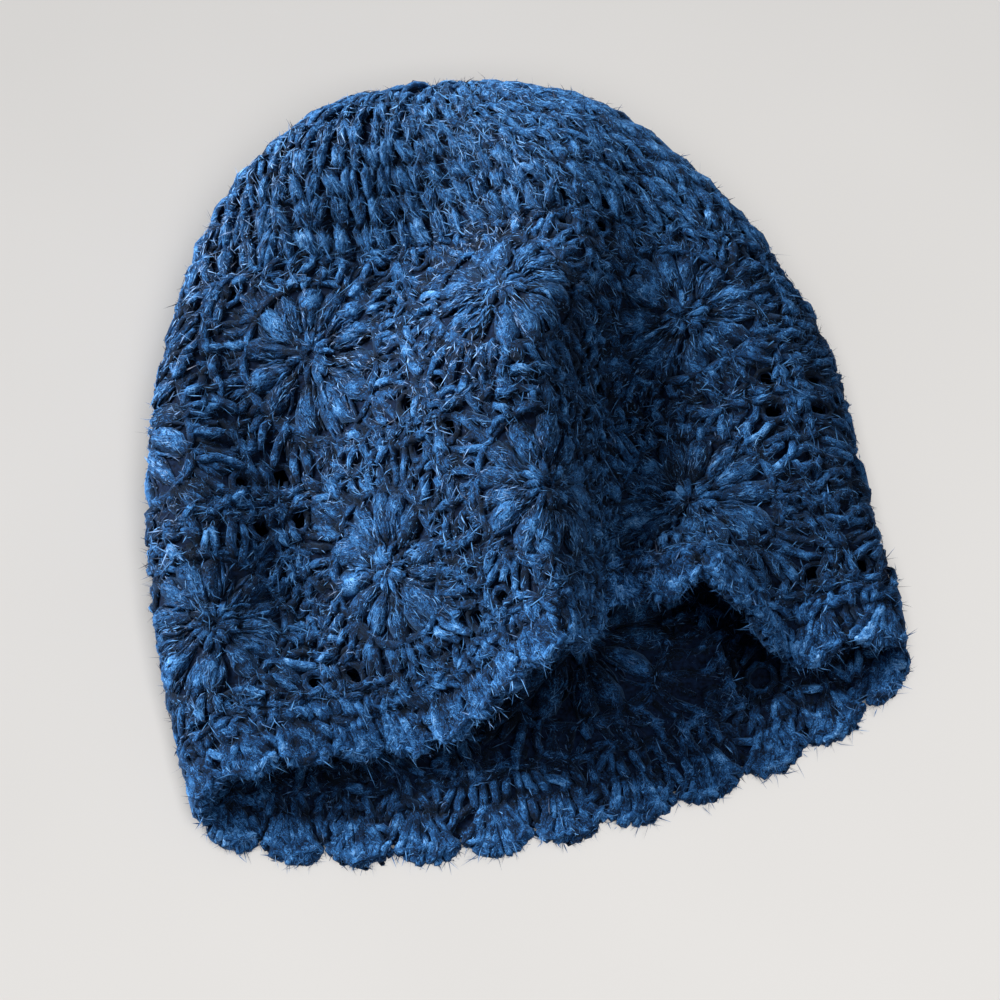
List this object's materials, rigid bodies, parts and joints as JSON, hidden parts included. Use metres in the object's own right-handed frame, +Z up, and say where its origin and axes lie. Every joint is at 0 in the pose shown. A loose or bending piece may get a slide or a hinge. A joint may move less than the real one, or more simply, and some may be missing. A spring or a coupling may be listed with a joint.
{
  "type": "crochet hat with a scalloped hem",
  "caption": "Soft blue crochet hat lying on its side, with a round crown, joined flower squares and a scalloped shell hem around the open head hollow.",
  "frame": {"origin": "middle of the hat's box on the floor it lies on", "axes": "+Z up from the floor, +Y from the open hem to the crown, +X to the right as seen from the open hem"},
  "size_m": [0.271, 0.3005, 0.0839],
  "materials": {
    "blue_mohair_yarn": "matte brushed yarn with a fuzzy halo"
  },
  "bodies": {
    "root": {"crown": "blue_mohair_yarn", "flower_square_upper_1": "blue_mohair_yarn", "flower_square_upper_2": "blue_mohair_yarn", "flower_square_upper_3": "blue_mohair_yarn", "flower_square_upper_4": "blue_mohair_yarn", "flower_square_upper_5": "blue_mohair_yarn", "flower_square_upper_6": "blue_mohair_yarn", "flower_square_upper_7": "blue_mohair_yarn", "flower_square_lower_1": "blue_mohair_yarn", "flower_square_lower_2": "blue_mohair_yarn", "flower_square_lower_3": "blue_mohair_yarn", "flower_square_lower_4": "blue_mohair_yarn", "flower_square_lower_5": "blue_mohair_yarn", "flower_square_lower_6": "blue_mohair_yarn", "flower_square_lower_7": "blue_mohair_yarn", "shell_edging": "blue_mohair_yarn"}
  },
  "joints": []
}
